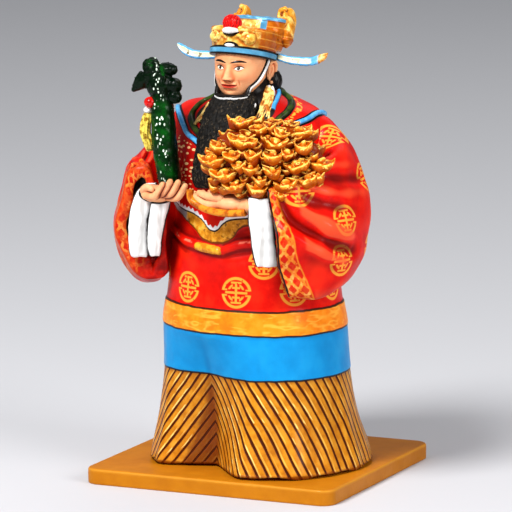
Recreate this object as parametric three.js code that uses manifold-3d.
// A painted cast-metal figure of a robed minister with a sceptre and an armful of gold ingots,
// standing on a square plate. Millimetres, +Z up, the figure faces -Y, origin under the plate.
import * as THREE from "three";
import { mergeVertices } from "three/addons/utils/BufferGeometryUtils.js";
import Module from "manifold-3d";

const wasm = await Module();
wasm.setup();

// Driving dimensions
const plateWidth = 36.8;
const plateDepth = 35.8;
const plateThickness = 2.2;
const plateCorner = 2; // radius of the corners seen from above
const plateBevel = 0.35;
const figureHeight = 62.4; // plate top to the tips of the hat
const figureX = 0.9; // the figure's upright axis on the plate
const figureY = -2.1;
const figureTurn = -12; // degrees, seen from above
const seatGap = 0.3; // between pieces that are joined after casting

// The free forms are drawn for a figure 62.4 units tall, so every share below is in these units.
const drawnHeight = 62.4;
const unit = figureHeight / drawnHeight;

// Robe from hem to neck: height, half width, half depth, middle x, middle y, squareness.
const robeRows = [
  [0, 15.2, 14.1, 0.5, -0.1, 2.25],
  [2, 14.8, 13.6, 0.4, -0.1, 2.25],
  [6.5, 13.8, 12.4, 0.1, -0.2, 2.2],
  [12.9, 13.0, 11.4, 0, -0.4, 2.2],
  [19, 12.8, 11.1, -0.2, -0.6, 2.2],
  [22.3, 12.3, 10.7, -0.3, -0.6, 2.2],
  [27, 11.8, 10.2, -0.3, -0.6, 2.2],
  [31, 11.4, 10.0, -0.2, -0.6, 2.1],
  [36, 11.4, 9.6, -0.2, -0.5, 2.1],
  [41, 11.8, 8.9, -0.5, -0.3, 2.2],
  [44.5, 12.0, 8.0, -1.0, -0.2, 2.3],
  [47, 11.7, 6.9, -1.3, -0.1, 2.3],
  [48.8, 10.3, 5.8, -1.3, -0.1, 2.2],
  [50.1, 7.2, 4.7, -0.9, -0.6, 2.1],
  [51, 4.4, 3.9, -0.5, -1.4, 2],
  [52, 3.3, 3.4, -0.4, -2.2, 2],
  [54, 3.0, 3.2, -0.4, -2.8, 2],
];
const robeSides = 36;
const robeRings = 19;
const fold = { middle: -1.4, halfWidth: 7.4, depth: 6.2, top: 18.5 }; // V at the front of the hem

// Sleeves from armhole to opening: middle x, y, z, heading in plan, half height, half width, and
// how far the lower edge falls back for each unit of height.
const leftSleeveRows = [
  [5.4, 1.2, 41.5, 0, 6.5, 5.2, 0],
  [9.2, 1.0, 40.0, -12, 8.2, 5.4, 0],
  [12.4, 0.1, 37.4, -48, 8.8, 4.8, 0],
  [14.1, -2.6, 35.1, -88, 9.1, 4.4, 0.05],
  [13.7, -6.6, 33.2, -120, 8.9, 4.2, 0.15],
  [11.9, -9.8, 32.4, -138, 7.6, 3.6, 0.28],
];
const rightSleeveRows = [
  [-7.2, 1.2, 41.5, 180, 6.5, 5.0, 0],
  [-10.6, 0.9, 40.0, 190, 8.2, 5.2, 0],
  [-13.2, -0.4, 37.2, 226, 9.2, 4.6, 0],
  [-14.4, -3.8, 34.3, 256, 9.5, 4.2, 0],
  [-14.2, -8.0, 33.0, 274, 9.0, 4.0, 0],
  [-11.2, -12.0, 33.2, 292, 8.0, 3.5, 0.04],
];
const sleeveSides = 20;
const sleeveRings = 10;
const sleeveFolds = { count: 6, leftDepth: 0.5, rightDepth: 0.28 };
const sleeveLip = 0.55; // thickness of the cloth at the opening
const sleevePocket = 1.5;

// Head from chin to crown: height, half width, half depth, middle y.
const headRows = [
  [50.6, 1.0, 1.2, -5.2],
  [51.3, 2.2, 2.3, -4.6],
  [52.6, 3.1, 3.5, -3.9],
  [54.2, 3.5, 4.1, -3.4],
  [55.8, 3.65, 4.3, -3.1],
  [57.3, 3.5, 4.2, -2.8],
  [58.8, 2.6, 3.2, -2.6],
];
const headX = -0.4;
const headY = -3.1;
const headTurn = 8; // degrees, the head and hat look a little to the left

// Beard from jaw to tip: height, half width, half depth, middle x, middle y.
const beardRows = [
  [52.2, 3.3, 1.9, -0.4, -4.9],
  [50.4, 4.3, 2.3, -0.4, -6.2],
  [47.6, 4.5, 2.5, -0.4, -7.4],
  [44.6, 4.3, 2.4, -0.5, -8.5],
  [41.8, 3.4, 2.0, -0.7, -9.5],
  [39.9, 2.1, 1.5, -0.9, -10.2],
  [38.8, 0.8, 0.7, -1.0, -10.6],
];

// Hat, in a frame at the middle of its rim that leans back with the head.
const hatRimZ = 56.2;
const hatLean = 14; // degrees
const hat = { rimHalfWidth: 4.2, rimHalfDepth: 4.4, topHalfWidth: 5.1, frontHeight: 3.4, backHeight: 5.4 };
const wing = { root: 3.6, tip: 11.6, back: 2.4, halfThick: 0.4, halfWidth: 0.6 };

// Sceptre shaft: height, half width, middle x, middle y.
const shaftRows = [
  [37.4, 1.4, -5.7, -12.4],
  [40, 1.6, -6.1, -12.3],
  [44, 1.7, -6.9, -12.2],
  [48, 1.6, -7.3, -12.1],
  [51.5, 1.5, -7.6, -12.1],
];

// Ingot pile: a core that the ingots lie on, in rows of height, first and last place along the
// core, count and side of the core, 1 in front to -1 behind.
const core = { x: 8.7, y: -10.5, z: 43.4, halfLength: 8.4, halfDepth: 2.5, halfHeight: 5.3 };
const pileTurn = 32; // degrees from +X
const pileRows = [
  [40.1, -5.6, 4.2, 4, 1],
  [42.3, -7.2, 7.6, 5, 1],
  [44.6, -5.8, 6.6, 5, 1],
  [46.6, -4.2, 5.0, 4, 0.9],
  [48.2, -2.4, 2.8, 3, 0.3],
  [46.0, -2.4, 5.6, 2, -0.7],
];
const ingot = { halfLength: 2.35, halfBeam: 1.15, keel: 0.85, tipRise: 0.7, dome: 0.75, standOut: 0.35 };

// Numbers of a row at a place from 0 to 1 along the key rows, on a smooth curve through them.
function rowAt(keys, place) {
  const along = place * (keys.length - 1);
  const k = Math.min(Math.floor(along), keys.length - 2);
  const t = along - k;
  const before = keys[Math.max(k - 1, 0)];
  const after = keys[Math.min(k + 2, keys.length - 1)];
  return keys[k].map((a, i) => {
    const b = keys[k + 1][i];
    const leave = (b - before[i]) / 2;
    const arrive = (after[i] - a) / 2;
    return a + t * (leave + t * (3 * (b - a) - 2 * leave - arrive + t * (2 * (a - b) + leave + arrive)));
  });
}

function smoothRows(keys, count) {
  return Array.from({ length: count + 1 }, (_, i) => rowAt(keys, i / count));
}

// A closed body through rings of points in drawing units, with a fan over each end.
function loft(rings) {
  const sides = rings[0].length;
  const points = rings.flat();
  const faces = [];
  for (let r = 0; r + 1 < rings.length; r++) {
    for (let s = 0; s < sides; s++) {
      const a = r * sides + s;
      const b = r * sides + ((s + 1) % sides);
      faces.push(a, b, b + sides, a, b + sides, a + sides);
    }
  }
  for (const [ring, start, turn] of [[rings[0], 0, 1], [rings.at(-1), (rings.length - 1) * sides, 0]]) {
    const middle = ring.reduce((sum, p) => sum.add(p), new THREE.Vector3()).divideScalar(sides);
    const hub = points.push(middle) - 1;
    for (let s = 0; s < sides; s++) {
      const edge = [start + s, start + ((s + 1) % sides)];
      faces.push(hub, edge[turn], edge[1 - turn]);
    }
  }
  return solidOf(points.flatMap((p) => [p.x * unit, p.y * unit, p.z * unit]), faces);
}

function signedVolume(xyz, faces) {
  const corner = (i) => new THREE.Vector3(xyz[3 * i], xyz[3 * i + 1], xyz[3 * i + 2]);
  let sum = 0;
  for (let f = 0; f < faces.length; f += 3) {
    sum += corner(faces[f]).dot(corner(faces[f + 1]).cross(corner(faces[f + 2])));
  }
  return sum;
}

function solidOf(xyz, faces) {
  if (signedVolume(xyz, faces) < 0) faces.reverse();
  return new wasm.Manifold(new wasm.Mesh({
    numProp: 3,
    vertProperties: Float32Array.from(xyz),
    triVerts: Uint32Array.from(faces),
  }));
}

// A three.js shape in drawing units, placed by a matrix, as a solid.
function placed(geometry, matrix) {
  geometry.applyMatrix4(matrix);
  geometry.scale(unit, unit, unit);
  geometry.deleteAttribute("normal");
  geometry.deleteAttribute("uv");
  const welded = mergeVertices(geometry, 1e-4);
  return solidOf(Array.from(welded.attributes.position.array), Array.from(welded.index.array));
}

function egg(middle, halves, sides, matrix = new THREE.Matrix4()) {
  const place = new THREE.Matrix4().makeTranslation(...middle);
  place.multiply(new THREE.Matrix4().makeScale(...halves)).premultiply(matrix);
  return placed(new THREE.SphereGeometry(1, sides, Math.ceil(sides / 2)), place);
}

function rod(from, to, radius, sides = 6) {
  const a = new THREE.Vector3(...from);
  const b = new THREE.Vector3(...to);
  const place = new THREE.Matrix4().compose(
    a.clone().add(b).divideScalar(2),
    new THREE.Quaternion().setFromUnitVectors(new THREE.Vector3(0, 1, 0), b.clone().sub(a).normalize()),
    new THREE.Vector3(1, 1, 1),
  );
  return placed(new THREE.CapsuleGeometry(radius, a.distanceTo(b), 1, sides), place);
}

function joined(solids) {
  return solids.reduce((whole, next) => whole.add(next));
}

// Flattened round outline of a level ring.
function levelRing(z, halfWidth, halfDepth, x, y, power, sides, grow = 0) {
  return Array.from({ length: sides }, (_, i) => {
    const angle = (i / sides) * 2 * Math.PI - Math.PI / 2;
    const c = Math.cos(angle);
    const s = Math.sin(angle);
    const reach = (Math.abs(c) ** power + Math.abs(s) ** power) ** (-1 / power);
    return new THREE.Vector3(x + (halfWidth + grow) * reach * c, y + (halfDepth + grow) * reach * s, z);
  });
}

function foldInset(x, y, z) {
  const across = Math.abs(x - fold.middle) / fold.halfWidth;
  if (y > 0 || across > 1 || z > fold.top) return 0;
  return fold.depth * (1 - across) * (1 - z / fold.top) ** 0.8;
}

function robe(grow = 0) {
  const rings = smoothRows(robeRows, robeRings).map(([z, w, d, x, y, power]) => {
    const ring = levelRing(z, w, d, x, y, power, robeSides, grow);
    for (const p of ring) p.y += foldInset(p.x, p.y, z);
    return ring;
  });
  return loft(rings);
}

// One upright ring of a sleeve: pear shaped, fuller below, with folds that deepen to the opening.
function sleeveRing([x, y, z, heading, halfHeight, halfWidth, lean], depth, grow, back = 0) {
  const turn = THREE.MathUtils.degToRad(heading);
  const ahead = new THREE.Vector3(Math.cos(turn), Math.sin(turn), 0);
  const side = new THREE.Vector3(-ahead.y, ahead.x, 0);
  return Array.from({ length: sleeveSides }, (_, i) => {
    const angle = (i / sleeveSides) * 2 * Math.PI;
    const ripple = depth * Math.sin(sleeveFolds.count * angle + 1);
    const up = Math.sin(angle);
    const across = Math.cos(angle) * (halfWidth + grow + ripple) * (1 - 0.24 * up);
    return new THREE.Vector3(x, y, z)
      .addScaledVector(side, across)
      .addScaledVector(ahead, lean * up * halfHeight - back)
      .add(new THREE.Vector3(0, 0, up * (halfHeight + grow + ripple)));
  });
}

function sleeve(rows, depth, grow = 0) {
  const keys = smoothRows(rows, sleeveRings);
  const rings = keys.map((row, i) => sleeveRing(row, depth * (i / sleeveRings) ** 1.5, grow));
  const end = rows.at(-1);
  if (grow === 0) {
    rings.push(sleeveRing(end, depth, -sleeveLip));
    rings.push(sleeveRing(end, depth, -sleeveLip, sleevePocket));
  }
  return loft(rings);
}

// A hanging fold of the white inner sleeve: height, half width, half depth, middle x, middle y rows.
function cuffLobe(rows, turn, grow) {
  const angle = THREE.MathUtils.degToRad(turn);
  const rings = smoothRows(rows, 6).map(([z, w, d, x, y]) => {
    const ring = levelRing(z, w, d, 0, 0, 2, 8, grow);
    for (const p of ring) p.applyAxisAngle(new THREE.Vector3(0, 0, 1), angle).add(new THREE.Vector3(x, y, 0));
    return ring;
  });
  return loft(rings);
}

function cuffs(grow = 0) {
  return [
    cuffLobe([
      [39.2, 0.9, 0.8, -11.2, -11.9],
      [37, 1.5, 1.1, -11.1, -12.9],
      [33, 1.6, 1.2, -11.0, -13.2],
      [30, 1.5, 1.1, -10.9, -13.1],
      [28.7, 0.9, 0.6, -10.9, -12.8],
    ], 30, grow),
    cuffLobe([
      [37.4, 1.1, 1.0, -7.9, -12.9],
      [34, 1.5, 1.1, -8.0, -13.0],
      [30.6, 1.3, 1.0, -8.2, -12.9],
      [29, 0.8, 0.6, -8.3, -12.7],
    ], 36, grow),
    cuffLobe([
      [38.4, 1.7, 1.4, 8.9, -11.9],
      [36, 2.0, 1.3, 9.1, -12.2],
      [32, 2.1, 1.1, 9.5, -12.1],
      [29.2, 2.0, 0.9, 9.9, -12.0],
    ], 36, grow),
  ];
}

function rightHand(grow = 0) {
  const tips = [[-5.4, -14.3, 39.6], [-4.3, -14.0, 40.0], [-3.3, -13.6, 40.0], [-2.5, -13.1, 39.6]];
  const fingers = tips.flatMap(([x, y, z]) => [
    rod([x - 3.6, y + 0.5, z - 2.2], [x - 1.6, y + 0.1, z - 2.3], 0.6 + grow),
    rod([x - 1.6, y + 0.1, z - 2.3], [x, y, z], 0.52 + grow),
  ]);
  return [
    egg([-8.7, -13.0, 37.5], [2.7 + grow, 1.8 + grow, 1.3 + grow], 10),
    rod([-12.2, -10.6, 37.4], [-9.6, -12.7, 37.6], 1.2 + grow, 8),
    rod([-10.2, -14.0, 38.0], [-8.2, -14.4, 38.6], 0.6 + grow),
    ...fingers,
  ];
}

function leftHand(grow = 0) {
  const fingers = [0, 1, 2, 3].flatMap((i) => {
    const y = -14.0 + 0.95 * i;
    const reach = 0.35 * Math.abs(i - 1.2);
    return [
      rod([3.4, y + 0.1, 37.4], [0.4 + reach, y, 37.3], 0.62 + grow),
      rod([0.4 + reach, y, 37.3], [-0.8 + reach, y, 38.2], 0.52 + grow),
    ];
  });
  return [
    egg([4.4, -12.7, 37.4], [2.6 + grow, 2.0 + grow, 1.3 + grow], 10),
    rod([5.4, -12.6, 37.5], [12.6, -9.8, 36.6], 1.3 + grow, 8),
    ...fingers,
  ];
}

// A frame at the head's upright axis, turned with the head.
function headFrame() {
  const frame = new THREE.Matrix4().makeTranslation(headX, headY, 0);
  return frame.multiply(new THREE.Matrix4().makeRotationZ(THREE.MathUtils.degToRad(headTurn)));
}

function head() {
  const frame = headFrame();
  const rings = smoothRows(headRows, 10).map(([z, w, d, y]) => (
    levelRing(z, w, d, 0, y - headY, 2.1, 16).map((p) => p.applyMatrix4(frame))
  ));
  const nose = egg([0, -4.3, 54.0], [0.5, 0.55, 0.95], 8, frame);
  const ears = [-1, 1].map((side) => egg([side * 3.5, 1.3, 54.0], [0.5, 0.85, 1.6], 8, frame));
  return [loft(rings), nose, ...ears];
}

function beard(grow = 0) {
  return loft(smoothRows(beardRows, 10).map(([z, w, d, x, y]) => levelRing(z, w, d, x, y, 2.2, 14, grow)));
}

function hatSolids() {
  const frame = headFrame().multiply(new THREE.Matrix4().makeTranslation(0, 0, hatRimZ));
  frame.multiply(new THREE.Matrix4().makeRotationX(THREE.MathUtils.degToRad(-hatLean)));
  const leaning = (ring) => ring.map((p) => p.applyMatrix4(frame));
  const round = (z, w, d, y) => leaning(levelRing(z, w, d, 0, y, 2.2, 18));
  const rim = loft([
    round(-0.55, hat.rimHalfWidth - 0.2, hat.rimHalfDepth - 0.2, 0),
    round(-0.45, hat.rimHalfWidth + 0.15, hat.rimHalfDepth + 0.15, 0),
    round(0.4, hat.rimHalfWidth + 0.2, hat.rimHalfDepth + 0.2, 0),
    round(0.5, hat.rimHalfWidth - 0.2, hat.rimHalfDepth - 0.2, 0),
  ]);
  const crown = loft([
    round(0, hat.rimHalfWidth - 0.2, hat.rimHalfDepth - 0.2, 0),
    round(1.6, hat.rimHalfWidth + 0.1, hat.rimHalfDepth, 0),
    round(hat.frontHeight - 0.3, hat.topHalfWidth - 0.2, hat.rimHalfDepth + 0.3, 0),
    round(hat.frontHeight, hat.topHalfWidth - 0.7, hat.rimHalfDepth - 0.3, 0),
  ]);
  const tier = loft([
    round(1.5, hat.rimHalfWidth - 0.2, 2.7, 2.2),
    round(hat.frontHeight, hat.topHalfWidth - 0.7, 2.9, 2.4),
    round(hat.backHeight - 0.3, hat.topHalfWidth - 0.3, 3.0, 2.5),
    round(hat.backHeight, hat.topHalfWidth - 0.6, 2.7, 2.5),
  ]);
  const lobes = [-1, 1].map((side) => egg([side * 3.7, 4.0, 5.1], [1.15, 1.4, 2.2], 9, frame));
  const scrolls = [-1, 1].map((side) => egg([side * 3.0, -3.3, 2.2], [1.35, 1.1, 1.2], 8, frame));
  const wings = [-1, 1].map((side) => {
    const rows = smoothRows([
      [wing.root, 0.3, 0.7],
      [wing.root + 0.32 * (wing.tip - wing.root), -0.15, 0.85],
      [wing.root + 0.7 * (wing.tip - wing.root), -0.1, 1],
      [wing.root + 0.93 * (wing.tip - wing.root), 0.6, 0.9],
      [wing.tip, 1.0, 0.3],
    ], 8);
    return loft(rows.map(([x, z, share]) => {
      const section = levelRing(0, wing.halfWidth * share, wing.halfThick * share, 0, 0, 2, 8);
      return leaning(section.map((p) => new THREE.Vector3(side * x, wing.back + p.x, z + p.y)));
    }));
  });
  return [
    rim, crown, tier, ...lobes, ...scrolls, ...wings,
    egg([0, -3.9, 3.3], [1.3, 1.25, 1.1], 9, frame),
    egg([0, -4.0, 2.5], [1.25, 1.25, 0.5], 9, frame),
  ];
}

function sleeves(grow = 0) {
  return [
    sleeve(leftSleeveRows, sleeveFolds.leftDepth, grow),
    sleeve(rightSleeveRows, sleeveFolds.rightDepth, grow),
  ];
}

function figureSolid() {
  return joined([
    robe(), ...sleeves(), ...cuffs(), ...rightHand(), ...leftHand(), ...head(), beard(), ...hatSolids(),
  ]);
}

// What stands beside the sceptre and the ingots, grown by the gap they keep to it.
function carriers() {
  const gap = seatGap / unit;
  return joined([
    robe(gap), ...sleeves(gap), beard(gap), ...cuffs(gap), ...rightHand(gap), ...leftHand(gap),
  ]);
}

function sceptreSolid() {
  const shaft = loft(smoothRows(shaftRows, 6).map(([z, r, x, y]) => levelRing(z, r, r, x, y, 2, 10)));
  const cloud = [
    egg([-7.7, -12.2, 52.5], [2.1, 1.7, 2.2], 9),
    egg([-8.7, -12.6, 54.7], [1.3, 1.2, 1.5], 8),
    egg([-6.6, -12.0, 54.6], [1.7, 1.1, 0.95], 8),
    egg([-5.6, -11.8, 52.4], [1.2, 1.1, 1.1], 8),
    egg([-5.4, -11.9, 50.9], [1.0, 1.0, 1.0], 8),
    rod([-9.0, -12.9, 53.5], [-10.2, -13.3, 52.5], 0.95, 8),
    rod([-10.2, -13.3, 52.5], [-11.2, -13.6, 51.6], 0.55, 8),
  ];
  const trim = [
    egg([-8.5, -13.3, 50.1], [0.9, 0.85, 0.8], 8),
    egg([-9.1, -13.1, 49.0], [0.65, 0.65, 0.5], 8),
    rod([-9.2, -13.0, 48.5], [-9.6, -13.0, 45.9], 0.7, 7),
    rod([-9.6, -13.0, 45.9], [-8.9, -12.8, 43.4], 0.62, 7),
  ];
  return joined([shaft, ...cloud, ...trim]);
}

// Repeatable scatter from -1 to 1.
function scatter(i) {
  const wave = Math.sin(i * 12.9898) * 43758.5453;
  return 2 * (wave - Math.floor(wave)) - 1;
}

function ingotRings() {
  return [-0.94, -0.45, 0.45, 0.94].map((s) => {
    const beam = ingot.halfBeam * Math.max(1 - s * s, 0.02) ** 0.55;
    const rise = ingot.tipRise * Math.abs(s) ** 2.2;
    const low = rise * 0.8 - ingot.keel * (1 - s * s) ** 0.5;
    const side = 0.4 * rise + 0.6 * low;
    const section = [[1, rise], [0.75, side], [0, low], [-0.75, side], [-1, rise]];
    return section.map(([across, z]) => new THREE.Vector3(s * ingot.halfLength, across * beam, z));
  });
}

function ingotSolid(matrix) {
  const boat = loft(ingotRings().map((ring) => ring.map((p) => p.applyMatrix4(matrix))));
  return boat.add(egg([0, 0, 0.15], [ingot.dome * 1.15, ingot.dome, ingot.dome], 6, matrix));
}

function pileSolid() {
  const frame = new THREE.Matrix4().makeRotationZ(THREE.MathUtils.degToRad(pileTurn));
  frame.setPosition(core.x, core.y, core.z);
  const pieces = [egg([0, 0, 0], [core.halfLength, core.halfDepth, core.halfHeight], 12, frame)];
  let number = 0;
  for (const [z, first, last, count, side] of pileRows) {
    for (let i = 0; i < count; i++, number++) {
      const along = first + ((last - first) * i) / (count - 1);
      const up = z - core.z + 0.3 * scatter(number + 0.7);
      const reach = Math.max(1 - (along / core.halfLength) ** 2 - (up / core.halfHeight) ** 2, 0) ** 0.5;
      const lean = new THREE.Euler(-0.3 * side + 0.2 * scatter(number), 0.22 * scatter(number + 0.1),
        0.5 * scatter(number + 0.5));
      const place = new THREE.Matrix4().makeRotationFromEuler(lean);
      place.setPosition(along, -side * (reach * core.halfDepth + ingot.standOut), up).premultiply(frame);
      pieces.push(ingotSolid(place));
    }
  }
  return joined(pieces);
}

function plateGeometry() {
  const x = plateWidth / 2 - plateBevel;
  const y = plateDepth / 2 - plateBevel;
  const corner = plateCorner - plateBevel;
  const shape = new THREE.Shape();
  shape.moveTo(-x + corner, -y);
  shape.absarc(x - corner, -y + corner, corner, -Math.PI / 2, 0);
  shape.absarc(x - corner, y - corner, corner, 0, Math.PI / 2);
  shape.absarc(-x + corner, y - corner, corner, Math.PI / 2, Math.PI);
  shape.absarc(-x + corner, -y + corner, corner, Math.PI, 1.5 * Math.PI);
  const geometry = new THREE.ExtrudeGeometry(shape, {
    depth: plateThickness - 2 * plateBevel,
    bevelThickness: plateBevel,
    bevelSize: plateBevel,
    bevelSegments: 2,
    curveSegments: 5,
  });
  return geometry.translate(0, 0, plateBevel);
}

function geometryOf(solid) {
  const mesh = solid.getMesh();
  const geometry = new THREE.BufferGeometry();
  geometry.setAttribute("position", new THREE.BufferAttribute(mesh.vertProperties, 3));
  geometry.setIndex(new THREE.BufferAttribute(mesh.triVerts, 1));
  return geometry;
}

function namedMesh(name, geometry, color, roughness, metalness = 0) {
  const mesh = new THREE.Mesh(geometry, new THREE.MeshStandardMaterial({ color, roughness, metalness }));
  mesh.name = name;
  return mesh;
}

const casting = figureSolid();
const room = carriers().add(casting);
const statue = new THREE.Group();
statue.position.set(figureX, figureY, plateThickness + seatGap);
statue.rotation.z = THREE.MathUtils.degToRad(figureTurn);
statue.add(namedMesh("figure", geometryOf(casting), 0xe32112, 0.35));
statue.add(namedMesh("ruyi_sceptre", geometryOf(sceptreSolid().subtract(room)), 0x0b4a1c, 0.12));
statue.add(namedMesh("ingot_pile", geometryOf(pileSolid().subtract(room)), 0xd8962a, 0.4, 0.2));

const part = new THREE.Group();
part.add(namedMesh("base", plateGeometry(), 0xc98a22, 0.45));
part.add(statue);

export default part;
